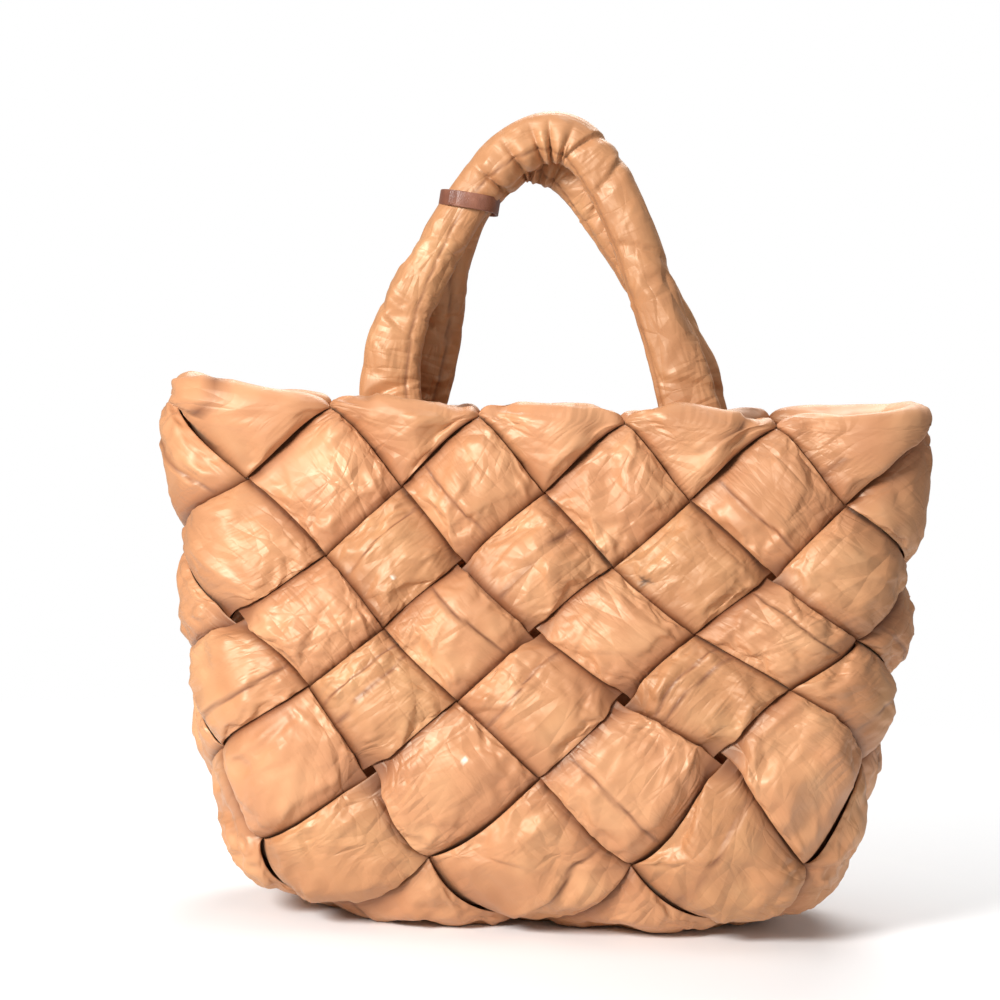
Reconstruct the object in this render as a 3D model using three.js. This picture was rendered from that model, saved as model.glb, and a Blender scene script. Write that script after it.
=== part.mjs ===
// A tote bag plaited on the bias from wide padded strips, with two padded handles and a leather keeper.
// Millimetres, +Z up. The front faces -Y. The origin is on the floor under the middle of the bag.
//
// The strips cross in a square lattice that stands on its corner. Positions on the wall are counted in
// lattice steps: "around" runs to the right as seen from outside, 0 at the front left corner of the base,
// and "row" runs up from the edge of the base. One step is half the distance between two like crossings.
import * as THREE from "three";

const frontSteps = 6; // lattice steps along the front and the back of the base
const sideSteps = 4; // lattice steps along each side of the base
const aroundSteps = 2 * (frontSteps + sideSteps);
const rimRow = 6; // row of the folded rim

const stripWidth = 0.88; // width of a strip, as a share of the spacing of the strips
const stripSway = 6.5; // how far a strip swings out and in as it passes over and under
const stripClearance = 0.25; // between a strip and the middle of the weave where two cross
const lensPower = 1.8; // how quickly a strip thins towards its edges where it lies against another
const stripLoft = 8.5; // padding above a strip's own middle on its free face
const foldReach = 0.3; // share of a row that bends round the rim
const foldPinch = 0.7; // padding left on the inside of the rim's fold
const bendThinning = 0.65; // padding lost where the strips bend round the edge of the base
const bendNarrowing = 0.12; // width lost there
const rimFill = 14; // lifts the ends of each fold, so that the rim runs more level
const rimThinning = 0.85; // padding lost beside the fold, where the strips lie tight
const buttGap = 0.012; // share of a crossing left between two strip ends that butt
const ringsPerCrossing = 4;
const columns = [-0.25, 0, 0.25]; // points across each face of a strip, as shares of the spacing

const floorHeight = 0;
const pressedHeight = 2.2; // what would come lower than this is pressed flat on the floor
const baseHeight = 7; // middle of the weave over the floor
const baseEdgeRound = 0.45; // lattice steps in which the base turns up into the walls
const baseEndLift = 8; // rise of the base towards its two ends
const earRise = 13; // rise of the rim towards its two ends

// The middle of the weave from the edge of the base to the rim, a level section for each row.
// "spread" widens the strips on the front and back and narrows them on the sides.
const wallSections = [
  { row: 0, height: 50, halfWidth: 188, halfDepth: 78, cornerRadius: 50, belly: 4, spread: 0.3 },
  { row: 1, height: 103, halfWidth: 206, halfDepth: 84, cornerRadius: 58, belly: 8, spread: -0.05 },
  { row: 2, height: 150, halfWidth: 213, halfDepth: 77, cornerRadius: 58, belly: 10, spread: -0.12 },
  { row: 3, height: 190, halfWidth: 219, halfDepth: 67, cornerRadius: 54, belly: 10, spread: -0.12 },
  { row: 4, height: 231, halfWidth: 226, halfDepth: 55, cornerRadius: 48, belly: 10, spread: -0.12 },
  { row: 5, height: 274, halfWidth: 231, halfDepth: 41, cornerRadius: 38, belly: 12, spread: -0.12 },
  { row: 6, height: 318, halfWidth: 236, halfDepth: 30, cornerRadius: 28, belly: 16, spread: -0.1 },
];

// Middle lines of the two handles. The rear one leans to the right and arches a little lower.
const handleStations = [
  { x: -93, y: -32.5, z: 285, rearX: -93, rearY: 32.5, rearZ: 285, width: 41, depth: 8 },
  { x: -95, y: -24.1, z: 308, rearX: -94, rearY: 25.4, rearZ: 308, width: 40, depth: 11 },
  { x: -98, y: -18.8, z: 342, rearX: -84, rearY: 19.4, rearZ: 342, width: 37, depth: 22 },
  { x: -92, y: -17.5, z: 381, rearX: -75, rearY: 17.5, rearZ: 381, width: 31, depth: 27 },
  { x: -77, y: -15.5, z: 419, rearX: -70, rearY: 15.5, rearZ: 419, width: 30, depth: 28 },
  { x: -57, y: -14, z: 457, rearX: -57, rearY: 14, rearZ: 457, width: 25, depth: 25 },
  { x: -33, y: -15, z: 486, rearX: -30, rearY: 15, rearZ: 486, width: 32, depth: 28 },
  { x: -6, y: -15, z: 499, rearX: -9, rearY: 15, rearZ: 487, width: 33, depth: 28 },
  { x: 17, y: -15, z: 490, rearX: 12, rearY: 15, rearZ: 475, width: 32, depth: 28 },
  { x: 40, y: -16, z: 456, rearX: 36, rearY: 16, rearZ: 444, width: 30, depth: 28 },
  { x: 61, y: -17.5, z: 408, rearX: 66, rearY: 17.5, rearZ: 401, width: 31, depth: 27 },
  { x: 81, y: -19.2, z: 353, rearX: 90, rearY: 19.2, rearZ: 352, width: 36, depth: 23 },
  { x: 92, y: -24.2, z: 310, rearX: 98, rearY: 23, rearZ: 310, width: 40, depth: 12 },
  { x: 95, y: -32.5, z: 285, rearX: 100, rearY: 32.5, rearZ: 285, width: 41, depth: 8 },
];
const handleSides = 10;
const handleRings = 30;

const keeper = {
  x: -55.3,
  z: 457,
  halfWidth: 21.7,
  halfDepth: 28.4,
  square: 3, // 2 is an oval, more is boxier
  band: 10,
  thickness: 2,
  segments: 28,
};

const nylon = { color: 0xc48d5f, roughness: 0.42, metalness: 0 };
const leather = { color: 0x6b4536, roughness: 0.5, metalness: 0 };

// Smooth value of one column of the wall sections at any row.
function sectionValue(column, row) {
  const last = wallSections.length - 1;
  const index = THREE.MathUtils.clamp(Math.floor(row), 0, last - 1);
  const [before, low, high, after] = [-1, 0, 1, 2].map((step) => {
    return wallSections[THREE.MathUtils.clamp(index + step, 0, last)][column];
  });
  const t = THREE.MathUtils.clamp(row - index, 0, 1);
  const lowSlope = (high - before) / 2;
  const highSlope = (after - low) / 2;
  const ease = t * t * (3 - 2 * t);
  return low + (high - low) * ease + lowSlope * t * (1 - t) ** 2 - highSlope * t * t * (1 - t);
}

// Point on the middle of the weave, on the wall.
function wallPoint(around, row) {
  const halfWidth = sectionValue("halfWidth", row);
  const halfDepth = sectionValue("halfDepth", row);
  const radius = sectionValue("cornerRadius", row);
  const belly = sectionValue("belly", row);
  const frontLine = halfWidth - radius;
  const sideLine = halfDepth - radius;
  const quarter = frontLine + (Math.PI / 2) * radius + sideLine;

  // Distance along the section from the middle of the front, positive to the right.
  const turns = (around - frontSteps / 2) / aroundSteps;
  const spread = (sectionValue("spread", row) / (4 * Math.PI)) * Math.sin(4 * Math.PI * turns);
  const distance = (turns - Math.round(turns) + spread) * 4 * quarter;
  const toRight = Math.sign(distance) || 1;
  const atBack = Math.abs(distance) > quarter;
  const along = atBack ? 2 * quarter - Math.abs(distance) : Math.abs(distance);

  let x = along;
  let y = halfDepth;
  if (along > frontLine) {
    const angle = Math.min((along - frontLine) / radius, Math.PI / 2);
    x = frontLine + radius * Math.sin(angle);
    y = sideLine + radius * Math.cos(angle) - Math.max(0, along - frontLine - (Math.PI / 2) * radius);
  }
  const share = x / halfWidth;
  y += belly * (1 - share ** 2) * (y / halfDepth);
  const up = row / rimRow;
  const endRise = earRise * up ** 3 + baseEndLift * Math.max(0, 1 - up) ** 3;
  const height = sectionValue("height", row) + endRise * share ** 4;
  return new THREE.Vector3(toRight * x, atBack ? y : -y, height);
}

// Point on the middle of the weave, on the base: a patch between the four edges, sunk to the floor.
function basePoint(x, y) {
  const u = x / frontSteps;
  const v = y / sideSteps;
  const cornerBack = frontSteps + sideSteps;
  const edge = (around) => wallPoint(around, 0);
  const point = new THREE.Vector3()
    .addScaledVector(edge(x), 1 - v)
    .addScaledVector(edge(cornerBack + frontSteps - x), v)
    .addScaledVector(edge(aroundSteps - y), 1 - u)
    .addScaledVector(edge(frontSteps + y), u)
    .addScaledVector(edge(0), -(1 - u) * (1 - v))
    .addScaledVector(edge(frontSteps), -u * (1 - v))
    .addScaledVector(edge(cornerBack), -u * v)
    .addScaledVector(edge(cornerBack + frontSteps), -(1 - u) * v);
  const settle = [x, frontSteps - x, y, sideSteps - y]
    .map((inside) => 1 - Math.exp(-Math.max(0, inside) / baseEdgeRound))
    .reduce((product, factor) => product * factor, 1);
  const edgeHeight = wallSections[0].height;
  const endRise = baseEndLift * (point.x / wallSections[0].halfWidth) ** 4;
  point.z = edgeHeight + endRise - settle * (edgeHeight - baseHeight);
  return point;
}

// The four edges of the base: where they start around the wall, and their directions on the base.
const baseEdges = [
  { start: 0, corner: [0, 0], along: [1, 0], inward: [0, 1] },
  { start: frontSteps, corner: [frontSteps, 0], along: [0, 1], inward: [-1, 0] },
  { start: frontSteps + sideSteps, corner: [frontSteps, sideSteps], along: [-1, 0], inward: [0, -1] },
  { start: 2 * frontSteps + sideSteps, corner: [0, sideSteps], along: [0, -1], inward: [1, 0] },
];

function wrapAround(around) {
  return ((around % aroundSteps) + aroundSteps) % aroundSteps;
}

function edgeUnder(around) {
  return [...baseEdges].reverse().find((edge) => wrapAround(around) >= edge.start);
}

// Point of the weave's middle for a wall position whose rows below 0 carry on across the base.
function weavePoint(edge, around, row) {
  if (row >= 0) return wallPoint(around, row);
  const offset = wrapAround(around - edge.start + sideSteps) - sideSteps;
  const x = edge.corner[0] + offset * edge.along[0] - row * edge.inward[0];
  const y = edge.corner[1] + offset * edge.along[1] - row * edge.inward[1];
  if (x > frontSteps) return wallPoint(frontSteps + y, x - frontSteps);
  if (x < 0) return wallPoint(aroundSteps - y, -x);
  if (y > sideSteps) return wallPoint(2 * frontSteps + sideSteps - x, y - sideSteps);
  if (y < 0) return wallPoint(x, -y);
  return basePoint(x, y);
}

// The same point with the weave's outward and upward directions there.
function weaveFrame(edge, around, row) {
  const step = 0.04;
  const at = (moveAround, moveRow) => weavePoint(edge, around + moveAround, row + moveRow);
  const right = at(step, 0).sub(at(-step, 0));
  const up = at(0, step).sub(at(0, -step)).normalize();
  return { point: at(0, 0), out: right.cross(up).normalize(), up };
}

// Follows a strip from one end at the rim, down its wall and across the base, to its other end.
// An end that leans right on the way down starts folded over the rim. The other kind starts one row lower.
function tracePath(end) {
  const footAround = end.around + rimRow * end.lean;
  const edge = edgeUnder(footAround);
  const offset = wrapAround(footAround) - edge.start;
  const position = [0, 1].map((axis) => edge.corner[axis] + offset * edge.along[axis]);
  const heading = [0, 1].map((axis) => end.lean * edge.along[axis] + edge.inward[axis]);
  const room = [0, 1].map((axis) => {
    return heading[axis] > 0 ? [frontSteps, sideSteps][axis] - position[axis] : position[axis];
  });
  const crossed = Math.min(...room);
  const exit = [0, 1].map((axis) => position[axis] + crossed * heading[axis]);
  const outward = room[0] < room[1] ? [heading[0], 0] : [0, heading[1]];
  const facesOut = (side) => side.inward.every((value, axis) => value + outward[axis] === 0);
  const exitEdge = baseEdges.find(facesOut);
  const alongExit = (vector) => vector[0] * exitEdge.along[0] + vector[1] * exitEdge.along[1];
  const exitOffset = alongExit([exit[0] - exitEdge.corner[0], exit[1] - exitEdge.corner[1]]);
  const exitHeading = alongExit(heading);
  const farEnd = {
    lean: -exitHeading,
    around: wrapAround(exitEdge.start + exitOffset + rimRow * exitHeading),
    edge: exitEdge,
  };
  return { near: { ...end, edge }, far: farEnd, length: 2 * rimRow + crossed };
}

function allPaths() {
  const ends = [];
  for (let around = (rimRow + 1) % 2; around < aroundSteps; around += 2) {
    ends.push({ around, lean: 1 }, { around, lean: -1 });
  }
  const taken = new Set();
  const paths = [];
  for (const end of ends) {
    if (taken.has(`${end.around} ${end.lean}`)) continue;
    const path = tracePath(end);
    taken.add(`${path.far.around} ${path.far.lean}`);
    paths.push(path);
  }
  return paths;
}

// One ring of a strip's skin, "along" crossings from the end at the rim and seen from that end.
// It goes from one edge across the inside to the other edge, and back across the outside.
function stripRing(end, along, flip) {
  const skew = end.lean > 0 ? Math.max(0, 1 - Math.abs(along)) : 0; // rings turn parallel to the rim's fold
  const point = (across, face) => stripPoint(end, along + across * skew, across, face);
  const way = flip ? -1 : 1;
  const half = ((way * stripWidth) / 2) * (1 - bendNarrowing * Math.exp(-((rimRow - along) ** 2)));
  const inside = columns.map((across) => point(way * across, -1));
  const outside = columns.map((across) => point(-way * across, 1));
  return [point(-half, 0), ...inside, point(half, 0), ...outside];
}

// Point on a strip's skin. Face 1 is outside, -1 is inside and 0 is the strip's edge.
function stripPoint(end, along, across, face) {
  const around = end.around + end.lean * along + across;
  const row = rimRow - along + end.lean * across;
  const sway = -end.lean * stripSway * Math.cos(Math.PI * along);
  const nearFold = Math.max(0, 1.5 - Math.abs(along)) / 1.5;
  const lens = Math.cos(Math.PI * across) ** lensPower;
  const squeezed = (1 - rimThinning * nearFold) * (1 - bendThinning * Math.exp(-((row / 0.55) ** 2)));
  const contact = (stripSway - stripClearance) * lens * squeezed;
  const free = stripLoft * Math.sqrt(1 - Math.abs(2 * across) ** 3);
  const belowRim = rimRow - row;
  if (end.lean < 0 || belowRim > 1) {
    const over = Math.max(0, (face * sway) / stripSway);
    const padding = face === 0 ? 0 : contact + (free - contact) * over;
    const { point, out } = weaveFrame(end.edge, around, row);
    return point.addScaledVector(out, sway + face * padding);
  }
  // Near the rim the strip folds over it, and its inside face comes out on top.
  const fold = Math.abs(belowRim);
  const swing = Math.min(1, fold / foldReach) * (Math.PI / 2) * (belowRim > 0 ? -1 : 1);
  const drop = fold > 1 ? fold : Math.max(0, (fold - foldReach) / (1 - foldReach));
  const { point, out, up } = weaveFrame(end.edge, around, rimRow - drop);
  const reach = stripSway * Math.cos(Math.PI * along);
  const facing = out.clone().multiplyScalar(Math.sin(swing)).addScaledVector(up, Math.cos(swing));
  const topFace = -face;
  const over = Math.max(0, Math.cos(Math.PI * along));
  const pinched = contact * (1 - (1 - foldPinch) * over);
  const padding = topFace > 0 ? contact + (free - contact) * over : pinched;
  const fill = rimFill * (1 - Math.cos(Math.PI * across)) * Math.max(0, 1 - fold);
  return point.addScaledVector(facing, reach + topFace * padding).addScaledVector(up, fill);
}

// A closed skin through rings of points. A loop joins its last ring to its first.
// "turned" tells which four-sided patches are split along their other diagonal.
function skinOfRings(rings, { loop = false, turned = () => false } = {}) {
  const sides = rings[0].length;
  const positions = rings.flat().flatMap((p) => [p.x, p.y, p.z]);
  const faces = [];
  const spans = loop ? rings.length : rings.length - 1;
  for (let i = 0; i < spans; i += 1) {
    const next = (i + 1) % rings.length;
    for (let j = 0; j < sides; j += 1) {
      const k = (j + 1) % sides;
      const [a, b, c, d] = [i * sides + j, i * sides + k, next * sides + k, next * sides + j];
      if (turned(i, j)) faces.push(a, b, d, b, c, d);
      else faces.push(a, b, c, a, c, d);
    }
  }
  if (!loop) {
    const last = (rings.length - 1) * sides;
    for (let j = 1; j < sides - 1; j += 1) {
      faces.push(0, j + 1, j, last, last + j, last + j + 1);
    }
  }
  const geometry = new THREE.BufferGeometry();
  geometry.setAttribute("position", new THREE.Float32BufferAttribute(positions, 3));
  geometry.setIndex(faces);
  geometry.computeVertexNormals();
  return geometry;
}

// Distances of a strip's rings from one end, up to its middle. The fold at the rim has more of them.
function ringDistances(end, middle) {
  const start = end.lean > 0 ? -1 + buttGap : 1 + buttGap;
  const distances = [start];
  for (let i = Math.round(start * ringsPerCrossing) + 1; i <= middle * ringsPerCrossing; i += 1) {
    distances.push(i / ringsPerCrossing);
  }
  if (end.lean > 0) distances.push(-0.5 / ringsPerCrossing, 0.5 / ringsPerCrossing);
  return distances.sort((a, b) => a - b);
}

function strip(path) {
  const near = ringDistances(path.near, path.length / 2);
  const far = ringDistances(path.far, (path.length - 0.1) / 2).reverse();
  const rings = [
    ...near.map((along) => stripRing(path.near, along, false)),
    ...far.map((along) => stripRing(path.far, along, true)),
  ];
  for (const ring of rings) {
    for (const point of ring) point.z = point.z < pressedHeight ? floorHeight : point.z;
  }
  // Crossing strips are split along the same diagonals, so that their faces lie against each other.
  const turned = (i, j) => {
    const lean = i < near.length ? path.near.lean : path.far.lean;
    return (lean > 0) === (j < rings[0].length / 2);
  };
  return skinOfRings(rings, { turned });
}

// A handle: an oval tube that lies flat where it is sewn inside the rim.
function handle(front) {
  const middle = new THREE.CatmullRomCurve3(
    handleStations.map((at) => {
      return front ? new THREE.Vector3(at.x, at.y, at.z) : new THREE.Vector3(at.rearX, at.rearY, at.rearZ);
    }),
    false,
    "centripetal",
  );
  const last = handleStations.length - 1;
  const size = (column, t) => {
    const index = Math.min(Math.floor(t * last), last - 1);
    const share = THREE.MathUtils.smoothstep(t * last - index, 0, 1);
    return THREE.MathUtils.lerp(handleStations[index][column], handleStations[index + 1][column], share);
  };
  const rings = [];
  for (let i = 0; i <= handleRings; i += 1) {
    const t = i / handleRings;
    const centre = middle.getPoint(t);
    const forward = middle.getTangent(t);
    const widthWay = new THREE.Vector3(0, 1, 0).cross(forward).normalize();
    const depthWay = forward.clone().cross(widthWay);
    const ring = [];
    for (let j = 0; j < handleSides; j += 1) {
      const angle = (2 * Math.PI * j) / handleSides;
      ring.push(
        centre
          .clone()
          .addScaledVector(widthWay, (Math.cos(angle) * size("width", t)) / 2)
          .addScaledVector(depthWay, (Math.sin(angle) * size("depth", t)) / 2),
      );
    }
    rings.push(ring);
  }
  return skinOfRings(rings);
}

// The keeper: a level leather band round both handles.
function keeperBand() {
  const rings = [];
  for (let i = 0; i < keeper.segments; i += 1) {
    const angle = (2 * Math.PI * i) / keeper.segments;
    const bend = (value) => Math.sign(value) * Math.abs(value) ** (2 / keeper.square);
    const way = new THREE.Vector2(bend(Math.cos(angle)), bend(Math.sin(angle)));
    const corner = (grow, rise) => {
      const x = keeper.x + way.x * (keeper.halfWidth + grow);
      const y = way.y * (keeper.halfDepth + grow);
      return new THREE.Vector3(x, y, keeper.z + rise);
    };
    const half = keeper.band / 2;
    const { thickness } = keeper;
    rings.push([corner(0, -half), corner(0, half), corner(thickness, half), corner(thickness, -half)]);
  }
  return skinOfRings(rings, { loop: true });
}

function piece(name, geometry, finish) {
  const mesh = new THREE.Mesh(geometry, new THREE.MeshStandardMaterial(finish));
  mesh.name = name;
  return mesh;
}

const bag = new THREE.Group();
allPaths().forEach((path, index) => {
  bag.add(piece(`strip_${String(index + 1).padStart(2, "0")}`, strip(path), nylon));
});
bag.add(piece("handle_front", handle(true), nylon));
bag.add(piece("handle_back", handle(false), nylon));
bag.add(piece("handle_keeper", keeperBand(), leather));

export default bag;
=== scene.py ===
import bpy
import math
import numpy as np
from mathutils import Matrix, Vector, noise


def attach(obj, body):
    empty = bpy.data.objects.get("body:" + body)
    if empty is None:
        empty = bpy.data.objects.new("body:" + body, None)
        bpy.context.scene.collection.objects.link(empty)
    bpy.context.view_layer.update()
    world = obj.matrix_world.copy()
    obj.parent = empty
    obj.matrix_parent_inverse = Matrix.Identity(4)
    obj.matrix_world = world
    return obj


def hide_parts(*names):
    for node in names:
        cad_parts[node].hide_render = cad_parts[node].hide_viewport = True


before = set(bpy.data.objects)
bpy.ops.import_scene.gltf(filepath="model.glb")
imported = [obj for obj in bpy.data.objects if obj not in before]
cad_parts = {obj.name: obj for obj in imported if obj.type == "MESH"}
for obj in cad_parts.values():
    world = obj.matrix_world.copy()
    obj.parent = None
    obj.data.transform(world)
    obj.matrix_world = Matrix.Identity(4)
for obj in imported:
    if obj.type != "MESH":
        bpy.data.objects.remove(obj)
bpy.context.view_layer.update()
scene = bpy.context.scene
print("frame loaded:", len(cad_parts), "nodes")

# the plaited body, in millimetres and steps of the part's lattice, plumper than the part
weave = {
    "frontSteps": 6, "sideSteps": 4, "rimRow": 6,
    "width": 0.98, "sway": 6.5, "clearance": 0.2, "lensPower": 0.95, "crisp": 0.48,
    "loft": 5.6, "plump": 0.22, "edgeBunching": 0.7, "edgeRise": 0.45, "liningShade": 0.6,
    "foldReach": 0.24, "foldPinch": 0.7, "rimFill": 5, "frontFill": 2, "rimLoft": 1.4, "rimCrisp": 0.35,
    "rimSpread": 0.065, "rimSpreadReach": 0.3, "rimThinning": 0.85, "rimThinningReach": 1.5,
    "bendThinning": 0.5, "bendReach": 0.55, "bendNarrowing": -0.015, "buttGap": 0.012,
    "baseHeight": 7, "baseEdgeRound": 0.45, "baseEndLift": 8, "earRise": 13,
    "ringsPerCrossing": 23, "pointsInside": 15, "pointsOutside": 31,
}
wallRows = {  # one value for each row, from the edge of the base up to the rim
    "height": (50, 103, 150, 190, 231, 274, 318),
    "halfWidth": (188, 206, 213, 219, 226, 231, 236),
    "halfDepth": (78, 84, 77, 67, 55, 41, 30),
    "cornerRadius": (50, 58, 58, 54, 48, 38, 28),
    "belly": (4, 8, 10, 10, 10, 12, 16),
    "spread": (0.3, -0.05, -0.12, -0.12, -0.12, -0.12, -0.1),
}
frontSteps, sideSteps, rimRow = weave["frontSteps"], weave["sideSteps"], weave["rimRow"]
aroundSteps = 2 * (frontSteps + sideSteps)

# where the plaiting is pulled out of true: place, reach and move in lattice steps
nudges = (
    {"at": (-0.6, 3.5), "reach": (1.3, 3.2), "move": (0.26, 0)},
    {"at": (5.7, 0.9), "reach": (1.7, 1.7), "move": (0.24, 0.34)},
    {"at": (4, 1.2), "reach": (1, 1), "move": (0.16, -0.1)},
    {"at": (2, 3.1), "reach": (0.9, 0.9), "move": (-0.14, -0.12)},
    {"at": (7.2, 4.6), "reach": (1.3, 2), "move": (-0.22, -0.08)},
    {"at": (3, 4.2), "reach": (0.8, 0.8), "move": (-0.06, 0.1)},
    {"at": (11, 3), "reach": (1.4, 1.6), "move": (0.16, 0.14)},
    {"at": (14, 2.4), "reach": (1.3, 1.3), "move": (-0.15, 0.12)},
    {"at": (16, 4.2), "reach": (1.2, 1.4), "move": (0.14, -0.1)},
)
openCorners = (  # a crossing's corner by lattice place, and how far the weave is drawn back from it
    (1, 1, 0.16), (4, 2, 0.14), (5, 1, 0.17), (-1, 3, 0.15), (2, 4, 0.08), (3, 3, 0.11), (6, 4, 0.08),
    (11, 3, 0.07), (14, 2, 0.08), (18, 2, 0.05),
)
pulling = {"steadyRows": 0.9, "core": 0.02, "reach": 0.3}


def uneven(around, row):
    movedAround, movedRow = around + 0.0, row + 0.0
    fade = np.clip(row / pulling["steadyRows"], 0, 1)
    level = fade * (1 - np.clip(row / rimRow, 0, 1) ** 4)
    away = lambda middle: (around - middle + aroundSteps / 2) % aroundSteps - aroundSteps / 2
    for nudge in nudges:
        far = away(nudge["at"][0]) / nudge["reach"][0], (row - nudge["at"][1]) / nudge["reach"][1]
        near = np.exp(-far[0] ** 2 - far[1] ** 2)
        movedAround = movedAround + nudge["move"][0] * near * fade
        movedRow = movedRow + nudge["move"][1] * near * level
    for middle, height, size in openCorners:
        offAround, offRow = away(middle), row - height
        reach = np.sqrt(offAround ** 2 + offRow ** 2) + 1e-6
        push = size * (1 - np.exp(-(reach / pulling["core"]) ** 2)) * np.exp(-(reach / pulling["reach"]) ** 2)
        movedAround = movedAround + push * offAround / reach
        movedRow = movedRow + push * offRow / reach
    return movedAround, movedRow


def rowValue(column, row):
    table = np.array(wallRows[column], float)
    last = len(table) - 1
    i = np.clip(np.floor(row).astype(int), 0, last - 1)
    before, low, high, after = (table[np.clip(i + k, 0, last)] for k in (-1, 0, 1, 2))
    t = np.clip(row - i, 0, 1)
    smooth = low + (high - low) * t * t * (3 - 2 * t)
    return smooth + (high - before) / 2 * t * (1 - t) ** 2 - (after - low) / 2 * t * t * (1 - t)


def wallPoint(around, row):
    around, row = uneven(around, row)
    halfWidth, halfDepth = rowValue("halfWidth", row), rowValue("halfDepth", row)
    radius = rowValue("cornerRadius", row)
    frontLine, sideLine = halfWidth - radius, halfDepth - radius
    quarter = frontLine + math.pi / 2 * radius + sideLine
    turns = (around - frontSteps / 2) / aroundSteps
    swell = rowValue("spread", row) / (4 * math.pi) * np.sin(4 * math.pi * turns)
    distance = (turns - np.round(turns) + swell) * 4 * quarter
    gone = np.abs(distance)
    atBack = gone > quarter
    along = np.where(atBack, 2 * quarter - gone, gone)
    angle = np.clip((along - frontLine) / radius, 0, math.pi / 2)
    straight = along <= frontLine
    x = np.where(straight, along, frontLine + radius * np.sin(angle))
    pastCorner = np.maximum(0, along - frontLine - math.pi / 2 * radius)
    y = np.where(straight, halfDepth, sideLine + radius * np.cos(angle) - pastCorner)
    share = x / halfWidth
    y = y + rowValue("belly", row) * (1 - share ** 2) * y / halfDepth
    up = row / rimRow
    endRise = weave["earRise"] * up ** 3 + weave["baseEndLift"] * np.maximum(0, 1 - up) ** 3
    z = rowValue("height", row) + endRise * share ** 4
    return np.stack([np.where(distance < 0, -x, x), np.where(atBack, y, -y), z], -1)


def basePoint(x, y):  # a patch between the four edges of the base, sunk to the floor
    u, v = (x / frontSteps)[..., None], (y / sideSteps)[..., None]
    back = frontSteps + sideSteps
    edge = lambda around: wallPoint(np.asarray(around, float), np.zeros(np.shape(around)))
    point = edge(x) * (1 - v) + edge(back + frontSteps - x) * v
    point += edge(aroundSteps - y) * (1 - u) + edge(frontSteps + y) * u
    point -= edge(0) * (1 - u) * (1 - v) + edge(frontSteps) * u * (1 - v)
    point -= edge(back) * u * v + edge(back + frontSteps) * (1 - u) * v
    settle = 1.0
    for inside in (x, frontSteps - x, y, sideSteps - y):
        settle = settle * (1 - np.exp(-np.maximum(0, inside) / weave["baseEdgeRound"]))
    edgeHeight = wallRows["height"][0]
    endRise = weave["baseEndLift"] * (point[..., 0] / wallRows["halfWidth"][0]) ** 4
    point[..., 2] = edgeHeight + endRise - settle * (edgeHeight - weave["baseHeight"])
    return point


baseEdges = (
    {"start": 0, "corner": (0, 0), "along": (1, 0), "inward": (0, 1)},
    {"start": frontSteps, "corner": (frontSteps, 0), "along": (0, 1), "inward": (-1, 0)},
    {"start": frontSteps + sideSteps, "corner": (frontSteps, sideSteps), "along": (-1, 0), "inward": (0, -1)},
    {"start": 2 * frontSteps + sideSteps, "corner": (0, sideSteps), "along": (0, -1), "inward": (1, 0)},
)


def weavePoint(edge, around, row):
    point = wallPoint(around, np.maximum(row, 0))
    left = row < 0
    offset = (around - edge["start"] + sideSteps) % aroundSteps - sideSteps
    x = edge["corner"][0] + offset * edge["along"][0] - row * edge["inward"][0]
    y = edge["corner"][1] + offset * edge["along"][1] - row * edge["inward"][1]
    pastEdges = (
        (x > frontSteps, frontSteps + y, x - frontSteps),
        (x < 0, aroundSteps - y, -x),
        (y > sideSteps, 2 * frontSteps + sideSteps - x, y - sideSteps),
        (y < 0, x, -y),
    )
    for past, wallAround, wallRow in pastEdges:
        pick = left & past
        if pick.any():
            point[pick] = wallPoint(wallAround[pick], wallRow[pick])
        left = left & ~pick
    if left.any():
        point[left] = basePoint(x[left], y[left])
    return point


def unit(vectors):
    return vectors / np.maximum(np.linalg.norm(vectors, axis=-1, keepdims=True), 1e-9)


def weaveFrame(edge, around, row):
    step = 0.04
    right = weavePoint(edge, around + step, row) - weavePoint(edge, around - step, row)
    up = unit(weavePoint(edge, around, row + step) - weavePoint(edge, around, row - step))
    return weavePoint(edge, around, row), unit(np.cross(right, up)), up


def stripPaths():  # every strip from rim to rim, in the order of the part's nodes
    ends = [(around, lean) for around in range((rimRow + 1) % 2, aroundSteps, 2) for lean in (1, -1)]
    taken, paths = set(), []
    for around, lean in ends:
        if (around, lean) in taken:
            continue
        foot = (around + rimRow * lean) % aroundSteps
        edge = [e for e in baseEdges if foot >= e["start"]][-1]
        offset = foot - edge["start"]
        place = [edge["corner"][k] + offset * edge["along"][k] for k in (0, 1)]
        heading = [lean * edge["along"][k] + edge["inward"][k] for k in (0, 1)]
        room = [(frontSteps, sideSteps)[k] - place[k] if heading[k] > 0 else place[k] for k in (0, 1)]
        crossed = min(room)
        leave = [place[k] + crossed * heading[k] for k in (0, 1)]
        outward = (heading[0], 0) if room[0] < room[1] else (0, heading[1])
        exitEdge = [e for e in baseEdges if e["inward"] == (-outward[0], -outward[1])][0]
        alongExit = lambda v: v[0] * exitEdge["along"][0] + v[1] * exitEdge["along"][1]
        exitOffset = alongExit([leave[k] - exitEdge["corner"][k] for k in (0, 1)])
        exitHeading = alongExit(heading)
        farAround = (exitEdge["start"] + exitOffset + rimRow * exitHeading) % aroundSteps
        taken.add((farAround, -exitHeading))
        near = {"around": around, "lean": lean, "edge": edge}
        far = {"around": farAround, "lean": -exitHeading, "edge": exitEdge}
        paths.append({"near": near, "far": far, "length": 2 * rimRow + crossed})
    return paths


def beat(along, crisp=weave["crisp"]):  # 1 over and -1 under, with flat tops and quick dives between them
    wave = np.cos(math.pi * along)
    return np.sign(wave) * np.abs(wave) ** crisp


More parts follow.
